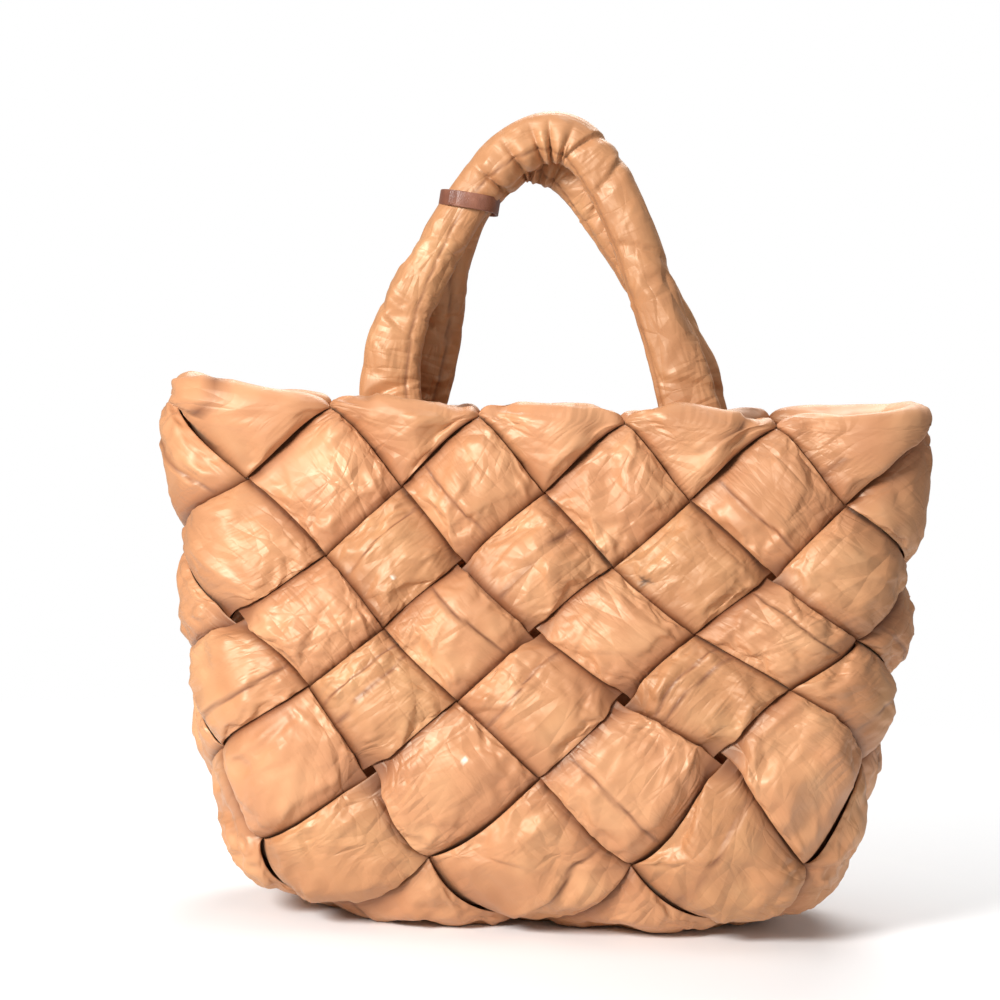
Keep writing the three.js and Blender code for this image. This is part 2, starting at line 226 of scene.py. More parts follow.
def stripSkin(end, along, across, face, rise):  # face is 1 outside and -1 inside, rise is 0 on the edges
    lean, sway = end["lean"], -end["lean"] * weave["sway"] * beat(along)
    around = end["around"] + lean * along + across
    row = rimRow - along + lean * across
    nearFold = np.maximum(0, weave["rimThinningReach"] - np.abs(along)) / weave["rimThinningReach"]
    lens = np.maximum(0, np.cos(math.pi * across)) ** weave["lensPower"]
    nearBend = np.exp(-((row / weave["bendReach"]) ** 2))
    squeezed = (1 - weave["rimThinning"] * nearFold) * (1 - weave["bendThinning"] * nearBend)
    contact = (weave["sway"] - weave["clearance"]) * lens * squeezed
    plump = 1 + weave["plump"] * np.sin(4.1 * np.round(along) + 2.7 * end["around"] + lean)
    free = weave["loft"] * rise * plump
    over = np.maximum(0, face * sway / weave["sway"])
    point, out, up = weaveFrame(end["edge"], around, row)
    skin = point + out * (sway + face * (contact + (free - contact) * over))[..., None]
    below = rimRow - row
    folded = (lean > 0) & (below <= 1)
    if np.any(folded):  # round the rim, where the inside comes out on top
        fold = np.abs(below)
        swing = np.minimum(1, fold / weave["foldReach"]) * math.pi / 2 * np.where(below > 0, -1, 1)
        reachRow = np.maximum(0, (fold - weave["foldReach"]) / (1 - weave["foldReach"]))
        drop = np.where(fold > 1, fold, reachRow)
        slide = np.minimum(fold, weave["foldReach"] * np.maximum(0, 1 - drop)) * np.where(below > 0, -1, 1)
        point, out, up = weaveFrame(end["edge"], around + slide, rimRow - drop)
        # distance along the strip, had the fold no length
        settled = (2 * across + np.where(below > 0, 1, -1) * (fold + drop) + slide) / 2
        lie = beat(settled, np.where(settled > 0.5, weave["crisp"], weave["rimCrisp"]))
        reach = weave["sway"] * lie
        facing = out * np.sin(swing)[..., None] + up * np.cos(swing)[..., None]
        rimOver, rimUnder = np.maximum(0, lie), np.maximum(0, -lie) * (settled > 0)
        pinched = contact * (1 - (1 - weave["foldPinch"]) * rimOver)
        padding = np.where(face < 0, contact + (weave["rimLoft"] * free - contact) * rimOver,
                           pinched + (free - pinched) * rimUnder)
        level = np.where(point[..., 1] < 0, weave["frontFill"], weave["rimFill"])
        fill = level * (1 - np.cos(math.pi * across)) * np.maximum(0, 1 - fold)
        rim = point + facing * (reach - face * padding)[..., None] + up * fill[..., None]
        skin = np.where(folded[..., None], rim, skin)
        over = np.where(folded, np.where(face < 0, rimOver, rimUnder), over)
    return skin, over


def ringsOf(end, distances, flip):
    inside = math.pi * np.arange(weave["pointsInside"]) / weave["pointsInside"]
    outside = math.pi + math.pi * np.arange(weave["pointsOutside"]) / weave["pointsOutside"]
    turn = np.concatenate([inside, outside])
    side = -np.sign(np.cos(turn)) * np.abs(np.cos(turn)) ** weave["edgeBunching"]
    face = np.where(turn < math.pi, -1.0, 1.0)[None, :] + 0 * distances[:, None]
    rise = np.abs(np.sin(turn))[None, :] ** weave["edgeRise"] + 0 * distances[:, None]
    half = weave["width"] / 2 * (1 - weave["bendNarrowing"] * np.exp(-((rimRow - distances) ** 2)))
    if end["lean"] > 0:  # the folds at the rim meet
        half = half * (1 + weave["rimSpread"] * np.exp(-((distances / weave["rimSpreadReach"]) ** 2)))
    across = (-1 if flip else 1) * half[:, None] * side[None, :]
    skew = np.maximum(0, 1 - np.abs(distances)) if end["lean"] > 0 else 0 * distances
    along = distances[:, None] + across * skew[:, None]
    skin, over = stripSkin(end, along, across, face, rise)
    cell = np.round(distances)[:, None] + 0 * across
    cellAround = end["around"] + end["lean"] * cell
    cellRow = rimRow - cell
    lining = (face > 0) == (cellRow > rimRow)  # the side that looks into the bag
    # painted sheen that follows the lean of the strip, and a tone that differs at random from crossing to
    # crossing
    paintedSheenAndTone = 0.5 + 0.25 * end["lean"] + 0.25 * np.sin(4.7 * cellAround + 3.1 * cellRow)
    # shown sets the painted shade: how far the strip lies on top, held higher on the lining faces
    return {"skin": skin, "over": over, "across": across, "cellAround": cellAround, "cellRow": cellRow,
            "offCell": distances[:, None] - cell, "rise": rise, "paintedSheenAndTone": paintedSheenAndTone,
            "shown": np.where(lining, np.maximum(over, weave["liningShade"]), over)}


def stripRings(path):
    halves = []
    for end, flip in ((path["near"], False), (path["far"], True)):
        start = (-1 if end["lean"] > 0 else 1) + weave["buttGap"]
        spans = math.ceil((path["length"] / 2 - start) * weave["ringsPerCrossing"])
        distances = np.linspace(start, path["length"] / 2, spans + 1)
        halves.append(ringsOf(end, distances if not flip else distances[:-1][::-1], flip))
    return {key: np.concatenate([half[key] for half in halves]) for key in halves[0]}


def tubeMesh(name, rings, values):  # closed tube through rings of points, with a UV map in metres
    count, n = rings.shape[:2]
    points = list(map(tuple, rings.reshape(-1, 3)))
    points += [tuple(rings[0].mean(0)), tuple(rings[-1].mean(0))]
    faces = []
    for i in range(count - 1):
        for j in range(n):
            k = (j + 1) % n
            faces.append((i * n + j, i * n + k, (i + 1) * n + k, (i + 1) * n + j))
    last = (count - 1) * n
    for j in range(n):
        k = (j + 1) % n
        faces += [(count * n, k, j), (count * n + 1, last + j, last + k)]
    mesh = bpy.data.meshes.new(name)
    mesh.from_pydata(points, [], faces)
    middle = rings.mean(1)
    gone = np.concatenate([[0], np.cumsum(np.linalg.norm(np.diff(middle, axis=0), axis=1))])
    turned = np.concatenate([[0], np.cumsum(np.linalg.norm(np.roll(rings, -1, 1) - rings, axis=2).mean(0))])
    uvMap = mesh.uv_layers.new(name="cloth")
    corners = []
    for i in range(count - 1):
        for j in range(n):
            corners += [(gone[i], turned[j]), (gone[i], turned[j + 1])]
            corners += [(gone[i + 1], turned[j + 1]), (gone[i + 1], turned[j])]
    for j in range(n):
        corners += [(gone[0], turned[j])] * 3 + [(gone[-1], turned[j])] * 3
    uvMap.data.foreach_set("uv", np.array(corners, np.float32).ravel())
    for key, value in values.items():
        layer = mesh.attributes.new(key, "FLOAT", "POINT")
        flat = np.concatenate([value.reshape(-1), [value[0].mean(), value[-1].mean()]])
        layer.data.foreach_set("value", flat.astype(np.float32))
    piece = bpy.data.objects.new(name, mesh)
    scene.collection.objects.link(piece)
    return piece


def positions(piece):
    found = np.zeros(len(piece.data.vertices) * 3, np.float32)
    piece.data.vertices.foreach_get("co", found)
    return found.reshape(-1, 3).astype(float)


def setPositions(piece, points):
    piece.data.vertices.foreach_set("co", points.astype(np.float32).ravel())
    piece.data.update()


def pointValue(piece, key):
    found = np.zeros(len(piece.data.vertices), np.float32)
    piece.data.attributes[key].data.foreach_get("value", found)
    return found.astype(float)


def newValue(piece, key, value):
    layer = piece.data.attributes.new(key, "FLOAT", "POINT")
    layer.data.foreach_set("value", value.astype(np.float32))


def pointNormals(piece):
    found = np.zeros(len(piece.data.vertices) * 3, np.float32)
    piece.data.vertex_normals.foreach_get("vector", found)
    return found.reshape(-1, 3).astype(float)


def applyModifier(piece, name):
    bpy.ops.object.select_all(action="DESELECT")
    piece.select_set(True)
    bpy.context.view_layer.objects.active = piece
    bpy.ops.object.modifier_apply(modifier=name)


# soft unevenness of the whole bag, the same for every strip so that they still lie on each other
slump = {"size": 0.11, "amount": 0.0045, "seed": 7, "fromFloor": 0.06}
floorGap = {"plaited": 0.0003, "creased": 0.0002}
noise.seed_set(slump["seed"])


def slumped(points):
    moved = points.copy()
    for i, p in enumerate(points):
        at = Vector(p) / slump["size"]
        rise = min(1.0, p[2] / slump["fromFloor"])
        moved[i] += np.array(noise.noise_vector(at)) * slump["amount"] * rise
    return moved


def offFloor(points, gap):
    points[:, 2] = np.maximum(points[:, 2], gap)
    return points


puff = {"pressure": 1.2, "growth": 0.05, "tubeGrowth": 0.012, "stiffness": 12, "bending": 0.05, "frames": 20,
        "cap": 0.0075, "edgeShare": 0.06, "freeFrom": 0.42, "freeOver": 0.35}


def loose(over):  # how free the cloth is, from where it dives to where it lies on top
    return np.clip((over - puff["freeFrom"]) / puff["freeOver"], 0, 1)


def startPuffing(piece, hold, growth):
    group = piece.vertex_groups.new(name="held")
    for i, weight in enumerate(hold):
        group.add([i], float(weight), "REPLACE")
    cloth = piece.modifiers.new("Cloth", "CLOTH")
    cloth.settings.quality = 5
    cloth.settings.mass = 0.12
    cloth.settings.tension_stiffness = puff["stiffness"]
    cloth.settings.compression_stiffness = puff["stiffness"]
    cloth.settings.shear_stiffness = 5
    cloth.settings.bending_stiffness = puff["bending"]
    cloth.settings.vertex_group_mass = "held"
    cloth.settings.pin_stiffness = 1
    cloth.settings.use_pressure = True
    cloth.settings.uniform_pressure_force = puff["pressure"]
    cloth.settings.shrink_min = -growth
    cloth.settings.effector_weights.gravity = 0
    cloth.point_cache.frame_end = puff["frames"]


def settle(piece, start, cap):  # apply the cloth, with no point further than its cap
    applyModifier(piece, "Cloth")
    moved = positions(piece) - start
    length = np.linalg.norm(moved, axis=1)
    setPositions(piece, start + moved * np.minimum(1, cap / np.maximum(length, 1e-9))[:, None])


def finer(piece):
    rounder = piece.modifiers.new("Finer", "SUBSURF")
    rounder.levels = rounder.render_levels = 1
    applyModifier(piece, "Finer")
    bpy.ops.object.shade_smooth()


def softPiece(piece, node, start, growth):
    return {"piece": piece, "node": node, "start": start, "growth": growth,
            "over": pointValue(piece, "over"), "rise": pointValue(piece, "rise")}


strips = []
for index, path in enumerate(stripPaths()):
    made = stripRings(path)
    skin = made.pop("skin")
    piece = tubeMesh("woven_strip_%02d" % (index + 1), skin / 1000, made)
    points = offFloor(slumped(positions(piece)), floorGap["plaited"])
    setPositions(piece, points)
    strips.append(softPiece(piece, "strip_%02d" % (index + 1), points, puff["growth"]))
print("strips plaited:", len(strips))

# middle lines and thickness of the handles in millimetres, near the part's
handleRows = {
    "x": (-94, -98, -102, -95, -78, -57, -33, -6, 17, 40, 61, 82, 94, 96),
    "y": (-32.5, -24.1, -18.8, -17.5, -15.5, -14, -15, -15, -15, -16, -17.5, -19.2, -24.2, -32.5),
    "z": (285, 308, 342, 381, 419, 457, 486, 499, 490, 456, 408, 353, 310, 285),
    "rearX": (-93, -94, -84, -75, -70, -57, -30, -9, 12, 36, 66, 90, 98, 100),
    "rearY": (32.5, 25.4, 19.4, 17.5, 15.5, 14, 15, 15, 15, 16, 17.5, 19.2, 23, 32.5),
    "rearZ": (285, 308, 342, 381, 419, 457, 486, 487, 475, 444, 401, 352, 310, 285),
    "width": (42, 43, 40, 34, 31, 30, 32, 33, 32, 31, 33, 38, 42, 42),
    "depth": (8, 11, 22, 27, 28, 25, 28, 28, 28, 28, 27, 23, 12, 8),
}
handleLook = {"rings": 190, "pointsRound": 32, "slimmer": 0.97,
              "seamHold": 0.7, "seamReach": 0.03, "rearSeam": 0.25}
keeperStation = 5
handleHeld = {"ends": 0.1, "ease": 0.08, "keeper": keeperStation / (len(handleRows["x"]) - 1),
              "reach": 0.035, "hold": 0.35}
seamLine = {"along": (0, 0.2, 0.385, 0.5, 0.65, 1), "turn": (0.86, 0.84, 0.75, 0.82, 0.93, 0.93)}


def throughStations(values, t):  # smooth line through the stations
    values = np.array(values, float)
    last = len(values) - 1
    i = np.clip(np.floor(t * last).astype(int), 0, last - 1)
    before, low, high, after = (values[np.clip(i + k, 0, last)] for k in (-1, 0, 1, 2))
    f = t * last - i
    return low + 0.5 * f * (high - before + f * (2 * before - 5 * low + 4 * high - after
                                                 + f * (3 * (low - high) + after - before)))


def seamTurn(t):  # where the seam lies round the tube, from one end to the other
    return np.interp(t, seamLine["along"], seamLine["turn"])


def clearOf(held, t):  # 0 at the ends of a handle and under the keeper, 1 between them
    fromEnds = np.clip((np.minimum(t, 1 - t) - held["ends"]) / held["ease"], 0, 1)
    return fromEnds * np.clip(np.abs(t - held["keeper"]) / held["reach"] - held["hold"], 0, 1)


def handleRings(front):
    t = np.linspace(0, 1, handleLook["rings"])
    keys = ("x", "y", "z") if front else ("rearX", "rearY", "rearZ")
    middle = np.stack([throughStations(handleRows[key], t) for key in keys], -1)
    forward = unit(np.gradient(middle, axis=0))
    widthWay = unit(np.cross(np.array([0.0, 1.0, 0.0]), forward))
    depthWay = np.cross(forward, widthWay)
    width = throughStations(handleRows["width"], t) * handleLook["slimmer"]
    depth = throughStations(handleRows["depth"], t) * handleLook["slimmer"]
    turn = 2 * math.pi * np.arange(handleLook["pointsRound"]) / handleLook["pointsRound"]
    rings = middle[:, None] + widthWay[:, None] * (np.cos(turn) * width[:, None] / 2)[..., None]
    return rings + depthWay[:, None] * (np.sin(turn) * depth[:, None] / 2)[..., None], t


handles = []
for front in (True, False):
    rings, t = handleRings(front)
    turnShare = np.arange(rings.shape[1])[None, :] / rings.shape[1] + 0 * t[:, None]
    offSeam = np.minimum(np.abs(turnShare - seamTurn(t)[:, None]), np.abs(turnShare - handleLook["rearSeam"]))
    sewn = handleLook["seamHold"] * np.exp(-(offSeam / handleLook["seamReach"]) ** 2)
    values = {"over": clearOf(handleHeld, t)[:, None] * (1 - sewn), "turn": turnShare,
              "gone": t[:, None] + 0 * turnShare, "rise": 1 + 0 * turnShare}
    side = "front" if front else "back"
    piece = tubeMesh("handle_tube_" + side, rings / 1000, values)
    handles.append(softPiece(piece, "handle_" + side, positions(piece), puff["tubeGrowth"]))
print("handles laid out")

for soft in strips + handles:
    startPuffing(soft["piece"], 1 - loose(soft["over"]), soft["growth"])
scene.frame_start, scene.frame_end = 1, puff["frames"]
for number in range(1, puff["frames"] + 1):
    scene.frame_set(number)
for soft in strips + handles:
    edge = puff["edgeShare"]
    cap = puff["cap"] * loose(soft["over"]) * (edge + (1 - edge) * soft["rise"])
    settle(soft["piece"], soft["start"], cap)
print("padding puffed")
for soft in strips + handles:
    finer(soft["piece"])

# creases of the thin nylon, in metres: fans where a strip dives under another, long folds and pleats
crease = {"cell": 0.062, "length": (0.01, 0.038), "height": (0.0006, 0.002), "width": (0.0018, 0.0045),
          "start": 0.003, "scatter": (0.002, 0.003), "shownFrom": 0.1, "reachFrom": 0.05, "edge": 0.49,
          "seed": 100}
fanLook = {"count": (1, 4), "rays": (3, 7), "at": 0.96, "side": 0.85, "spread": 0.5,
           "cornerChance": 0.55, "cornerAt": (0.9, 0.85), "cornerTurn": 0.2, "cornerSpread": 0.35,
           "cornerRays": 6}
foldLook = {"count": (3, 7), "length": (0.025, 0.06), "height": (0.0009, 0.0024), "width": (0.003, 0.008),
            "middle": 0.7, "angle": (0.5, 2.6), "bow": 0.15, "slopes": (2.4, 0.6)}
lapLook = {"edge": 0.0005, "over": 0.017, "under": 0.006, "sink": 0.9, "wave": 0.0006, "waveLength": 0.006,
           "lineOff": 0.0006, "line": 0.0009}
extraPleat = {"frontTo": 7, "front": 0.15, "rest": 0.4, "place": (0.08, 0.25), "tilt": 0.08, "height": 0.0016}
pleats = {  # by lattice place: where the line lies across the strip, its tilt, and the height of the lap
    (1, 4): ((-0.19, 0.06, 0.0019),), (6, 5): ((-0.2, 0.05, 0.0021),), (4, 1): ((-0.18, 0, 0.002),),
    (2, 5): ((-0.2, 0.02, 0.0018),), (1, 2): ((-0.26, 0, 0.0016), (-0.08, 0.05, 0.0018)),
    (5, 2): ((-0.24, 0, 0.0016), (-0.1, -0.04, 0.0014)), (3, 4): ((0.02, 0.08, 0.0012),),
    (3, 2): ((-0.16, 0.1, 0.0016),), (2, 3): ((0.16, 0.05, 0.0018),), (6, 3): ((0.2, -0.05, 0.0016),),
    (7, 2): ((0.1, 0, 0.0014),), (3, 0): ((0.2, 0.06, 0.0016),), (5, 0): ((-0.15, 0.05, 0.0016),),
}
snag = {"cell": (5, 4), "at": (0.4, -0.2), "rays": 11, "length": 0.012, "height": 0.0011, "width": 0.0011,
        "dent": 0.0018, "dentReach": 0.0022, "scuff": 0.0029}
specks = {(2, 1): (-0.045, 0.175, 0.0015), (1, 4): (0.11, 0.2, 0.0012)}  # pale: place in the cell, and size
crumples = (  # knotted places, in metres: the lower corners and the ears of the rim
    {"at": (0.185, -0.06, 0.035), "reach": 0.034, "size": 0.011, "height": 0.0036},
    {"at": (-0.185, -0.06, 0.04), "reach": 0.036, "size": 0.011, "height": 0.0034},
    {"at": (0.185, 0.06, 0.035), "reach": 0.03, "size": 0.011, "height": 0.003},
    {"at": (-0.185, 0.06, 0.035), "reach": 0.03, "size": 0.011, "height": 0.003},
    {"at": (0.232, -0.01, 0.31), "reach": 0.03, "size": 0.012, "height": 0.0034},
    {"at": (-0.232, -0.01, 0.31), "reach": 0.03, "size": 0.012, "height": 0.0034},
)


def ridge(u, v, start, way, length, height, width):  # a sharp crest that starts at a point and dies out
    alongIt = (u - start[0]) * way[0] + (v - start[1]) * way[1]
    beside = np.abs((v - start[1]) * way[0] - (u - start[0]) * way[1])
    share = np.clip(alongIt / length, 0, 1)
    fade = np.clip(alongIt / crease["start"], 0, 1) * (1 - share) ** 0.8
    return height * fade * np.maximum(0, 1 - beside / (width * (0.5 + 1.2 * share)))


def fan(rng, u, v, start, heading, spread, rays):
    total = np.zeros(len(u))
    for _ in range(rays):
        angle = heading + rng.normal(0, spread)
        height = rng.uniform(*crease["height"]) * rng.choice((1, 1, -0.8))
        origin = [start[k] + rng.normal(0, crease["scatter"][k]) for k in (0, 1)]
        length, width = rng.uniform(*crease["length"]), rng.uniform(*crease["width"])
        total += ridge(u, v, origin, (math.cos(angle), math.sin(angle)), length, height, width)
    return total


def longFold(rng, u, v, middle, angle):  # a soft slope on one side and a steep one on the other
    length, width = rng.uniform(*foldLook["length"]), rng.uniform(*foldLook["width"])
    du, dv = u - middle[0], v - middle[1]
    alongIt = du * math.cos(angle) + dv * math.sin(angle)
    beside = dv * math.cos(angle) - du * math.sin(angle) + foldLook["bow"] * alongIt ** 2 / length
    fade = np.clip(1 - (2 * alongIt / length) ** 2, 0, 1)
    soft, steep = foldLook["slopes"]
    slope = np.maximum(0, 1 - np.where(beside > 0, beside / (soft * width), -beside / (steep * width)))
    return rng.uniform(*foldLook["height"]) * rng.choice((1, -0.7)) * fade * slope


def lap(v, line, height):  # one edge of the cloth lying over the next
    beside = v - line
    step = 0.5 + 0.5 * np.tanh(beside / lapLook["edge"])
    over = height * np.maximum(0, 1 - np.abs(beside) / lapLook["over"]) * step
    return over - lapLook["sink"] * height * np.maximum(0, 1 - np.abs(beside) / lapLook["under"]) * (1 - step)


def crumpled(points):  # sharp-edged folds of a knotted place
    height = np.zeros(len(points))
    for knot in crumples:
        far = np.linalg.norm(points - np.array(knot["at"]), axis=1)
        for i in np.nonzero(far < 2 * knot["reach"])[0]:
            fold = 1 - 2.4 * abs(noise.noise(Vector(points[i]) / knot["size"]))
            height[i] += knot["height"] * fold * math.exp(-(far[i] / knot["reach"]) ** 2)
    return height


def cellCreases(rng, u, v):  # fans from both ends of a crossing, and long folds over it
    half = crease["cell"] / 2
    made = np.zeros(len(u))
    for end in (-1, 1):
        for _ in range(rng.integers(*fanLook["count"])):
            start = (end * half * fanLook["at"], rng.uniform(-fanLook["side"], fanLook["side"]) * half)
            heading = math.pi if end > 0 else 0
            made += fan(rng, u, v, start, heading, fanLook["spread"], rng.integers(*fanLook["rays"]))
        if rng.random() < fanLook["cornerChance"]:
            side = rng.choice((-1, 1))
            heading = math.atan2(-side, -end) + rng.normal(0, fanLook["cornerTurn"])
            start = (end * half * fanLook["cornerAt"][0], side * half * fanLook["cornerAt"][1])
            made += fan(rng, u, v, start, heading, fanLook["cornerSpread"], fanLook["cornerRays"])
    for _ in range(rng.integers(*foldLook["count"])):
        middle = rng.uniform(-foldLook["middle"], foldLook["middle"], 2) * half
        made += longFold(rng, u, v, middle, rng.uniform(*foldLook["angle"]))
    return made


def pleatLines(rng, around, row):  # the pleats seen on this crossing, or now and then one more
    lines = pleats.get((around, row), ())
    if not lines and rng.random() < extraPleat["rest" if around > extraPleat["frontTo"] else "front"]:
        place = rng.choice((-1, 1)) * rng.uniform(*extraPleat["place"])
        lines = ((place, rng.uniform(-extraPleat["tilt"], extraPleat["tilt"]), extraPleat["height"]),)
    return lines


def snagged(rng, u, v):  # short ridges round a small ragged scuff
    at = [snag["at"][k] * crease["cell"] for k in (0, 1)]
    made = np.zeros(len(u))
    for ray in range(snag["rays"]):
        angle = 2 * math.pi * ray / snag["rays"] + rng.normal(0, 0.2)
        length = snag["length"] * rng.uniform(0.6, 1.3)
        made += ridge(u, v, at, (math.cos(angle), math.sin(angle)), length, snag["height"], snag["width"])
    near, bearing = np.hypot(u - at[0], v - at[1]), np.arctan2(v - at[1], u - at[0])
    made -= snag["dent"] * np.exp(-(near / snag["dentReach"]) ** 2)
    ragged = snag["scuff"] * (1 + 0.4 * np.sin(3 * bearing + 1) + 0.3 * np.sin(7 * bearing))
    return made, np.exp(-(near / ragged) ** 3)


def creaseStrip(piece, seed):
    over, across, off = (pointValue(piece, key) for key in ("over", "across", "offCell"))
    cellAround = np.round(pointValue(piece, "cellAround")) % aroundSteps
    cellRow = np.round(pointValue(piece, "cellRow"))
    u, v = off * crease["cell"], across * crease["cell"]
    height, scuff, line, speck = (np.zeros(len(u)) for _ in range(4))
    onTop = over > crease["shownFrom"]
    for key in sorted(set(zip(cellAround[onTop], cellRow[onTop]))):
        pick = (cellAround == key[0]) & (cellRow == key[1]) & (over > crease["reachFrom"])
        around, row = int(key[0]), int(key[1])
        rng = np.random.default_rng([seed, around + 40, row + 40])  # 40 keeps the seeds above 0
        if around > aroundSteps - 3:
            around -= aroundSteps
        cu, cv = u[pick], v[pick]
        made = cellCreases(rng, cu, cv)
        for place, tilt, size in pleatLines(rng, around, row):
            way = 1 if place < 0 else -1
            wave = lapLook["wave"] * np.sin(cu / lapLook["waveLength"] + place * 40)
            at = place * crease["cell"] + tilt * cu + wave
            made += lap(way * cv, way * at, size)
            # a thin painted shadow under the lapped edge of the pleat
            fromLine = (cv - at + way * lapLook["lineOff"]) / lapLook["line"]
            line[pick] = np.maximum(line[pick], np.exp(-fromLine ** 2))
        if (around, row) == snag["cell"]:
            torn, scuff[pick] = snagged(rng, cu, cv)
            made += torn
        if (around, row) in specks:
            alongIt, side, size = specks[(around, row)]
            near = np.sqrt((cu - alongIt * crease["cell"]) ** 2 + (cv - side * crease["cell"]) ** 2)
            speck[pick] = np.exp(-(near / size) ** 4)
        height[pick] = made
    height += crumpled(positions(piece))
    mask = loose(over) * (1 - np.clip(np.abs(across) / crease["edge"], 0, 1) ** 10)
    setPositions(piece, positions(piece) + pointNormals(piece) * (height * mask)[:, None])
    for key, value in (("scuff", scuff), ("line", line), ("speck", speck)):
        newValue(piece, key, value)


tubeCrease = {
    "girth": 0.096, "length": 0.62, "seam": 0.0012, "seamWidth": 0.0012, "seamLine": 0.0008,
    "gather": 0.0085, "gatherPitch": 0.024, "gatherFrom": (0.405, 0.02), "gatherTo": (0.6, 0.04),
    "innerTurn": 0.86, "frontTurn": 0.68, "kinkReach": 0.03, "kinkSlopes": (0.009, 0.003),
    "fans": 9, "fanShare": 0.75, "folds": 12, "foldShare": 0.7, "seed": 300,
}
handleCalm = {"ends": 0.07, "ease": 0.05, "keeper": 0.385, "reach": 0.03, "hold": 0.3}
tubeKinks = (  # where a tube is bent over: place along it, lean of the fold, depth
    (0.605, 0.5, 0.0044), (0.655, -0.4, 0.0036), (0.74, 0.5, 0.003), (0.13, -0.6, 0.0034),
    (0.225, 0.5, 0.0034), (0.33, -0.4, 0.0018), (0.86, 0.4, 0.0022),
)


def creaseHandle(piece, seed):
    turn, gone = pointValue(piece, "turn"), pointValue(piece, "gone")
    rng = np.random.default_rng(seed)
    girth, length = tubeCrease["girth"], tubeCrease["length"]
    u, v = gone * length, turn * girth
    beside = v - seamTurn(gone) * girth
    height = -tubeCrease["seam"] * np.exp(-(beside / tubeCrease["seamWidth"]) ** 2)
    wander = 0.003 * np.sin(u / 0.013) + 0.002 * np.sin(u / 0.0047)
    (first, firstEase), (last, lastEase) = tubeCrease["gatherFrom"], tubeCrease["gatherTo"]
    arch = np.clip((gone - first) / firstEase, 0, 1) * np.clip((last - gone) / lastEase, 0, 1)
    inner = np.clip(np.cos(2 * math.pi * (turn - tubeCrease["innerTurn"])), 0, 1) ** 1.5
    lobe = np.abs(np.sin(math.pi * (u + wander) / tubeCrease["gatherPitch"])) ** 0.55
    height += tubeCrease["gather"] * (lobe - 0.75) * arch * inner
    fromFront = v - tubeCrease["frontTurn"] * girth
    nearFront = np.clip(1 - np.abs(fromFront) / tubeCrease["kinkReach"], 0, 1)
    for at, lean, depth in tubeKinks:
        fold = (gone - at) * length + lean * fromFront
        slope = np.where(fold > 0, *tubeCrease["kinkSlopes"])
        height -= depth * np.maximum(0, 1 - np.abs(fold) / slope) * nearFront
    for _ in range(tubeCrease["fans"]):
        at = rng.uniform(0.1, 0.9)
        start = (at * length, (seamTurn(at) if rng.random() < 0.7 else rng.uniform(0.45, 0.95)) * girth)
        for heading in (0.35 * math.pi, -0.65 * math.pi):
            height += tubeCrease["fanShare"] * fan(rng, u, v, start, heading + rng.normal(0, 0.4), 0.35, 4)
    for _ in range(tubeCrease["folds"]):
        middle = (rng.uniform(0.1, 0.9) * length, rng.uniform(0.35, 0.95) * girth)
        angle = rng.choice((0.25, 0.75)) * math.pi + rng.normal(0, 0.25)
        height += tubeCrease["foldShare"] * longFold(rng, u, v, middle, angle)
    calm = clearOf(handleCalm, gone)
    setPositions(piece, positions(piece) + pointNormals(piece) * (height * calm)[:, None])
    # painted shade in the notches between the gathers, with the sewn seam drawn dark
    notch = 0.55 * arch * inner * np.clip(1 - lobe / 0.5, 0, 1)
    newValue(piece, "line", np.maximum(notch, 0.75 * np.exp(-(beside / tubeCrease["seamLine"]) ** 2)))
    newValue(piece, "shown", np.ones(len(u)))


for index, soft in enumerate(strips):
    creaseStrip(soft["piece"], crease["seed"] + index)
    setPositions(soft["piece"], offFloor(positions(soft["piece"]), floorGap["creased"]))
for index, soft in enumerate(handles):
    creaseHandle(soft["piece"], tubeCrease["seed"] + index)
print("creases set")


# materials
def newMaterial(name):
    material = bpy.data.materials.new(name)
    material.use_nodes = True
    return material, material.node_tree.nodes, material.node_tree.links


def newGroup(name, outputs):
    group = bpy.data.node_groups.new(name, "ShaderNodeTree")
    for label, kind in outputs:
        group.interface.new_socket(label, in_out="OUTPUT", socket_type=kind)
    return group, group.nodes.new("NodeGroupOutput")


def ramp(tree, source, stops):
    node = tree.nodes.new("ShaderNodeValToRGB")
    while len(node.color_ramp.elements) < len(stops):
        node.color_ramp.elements.new(0.5)
    for element, (place, colour) in zip(node.color_ramp.elements, stops):
        element.position = place
        element.color = colour
    tree.links.new(source, node.inputs["Fac"])
    return node.outputs["Color"]


def mapRange(tree, source, low, high, toLow, toHigh):
    node = tree.nodes.new("ShaderNodeMapRange")
    for label, value in (("From Min", low), ("From Max", high), ("To Min", toLow), ("To Max", toHigh)):
        node.inputs[label].default_value = value
    tree.links.new(source, node.inputs["Value"])
    return node.outputs["Result"]


def pointAttribute(tree, key):
    node = tree.nodes.new("ShaderNodeAttribute")
    node.attribute_name = key
    return node.outputs["Fac"]


# thin crinkled cloth: flat facets with sharp folds between them, finer in patches, and patches of tone
crinkle, out = newGroup("crinkled_cloth", (
    ("Tone", "NodeSocketFloat"), ("Gloss", "NodeSocketFloat"), ("Normal", "NodeSocketVector")))
foldSizes = (  # facets to the metre both ways, turn, slope, and the scale of the patches they lie in
    ((26, 62, 1), 0.35, 0.3, 14), ((130, 50, 1), -0.3, 0.26, 19), ((60, 210, 1), 0.15, 0.16, 30),
)
facetPatch = {"low": 0.4, "high": 0.62, "least": 0.12}
uv = crinkle.nodes.new("ShaderNodeUVMap")
uv.uv_map = "cloth"
place = crinkle.nodes.new("ShaderNodeTexCoord")


def patches(scale, detail):
    node = crinkle.nodes.new("ShaderNodeTexNoise")
    node.inputs["Scale"].default_value = scale
    node.inputs["Detail"].default_value = detail
    crinkle.links.new(place.outputs["Object"], node.inputs["Vector"])
    return node.outputs["Fac"]


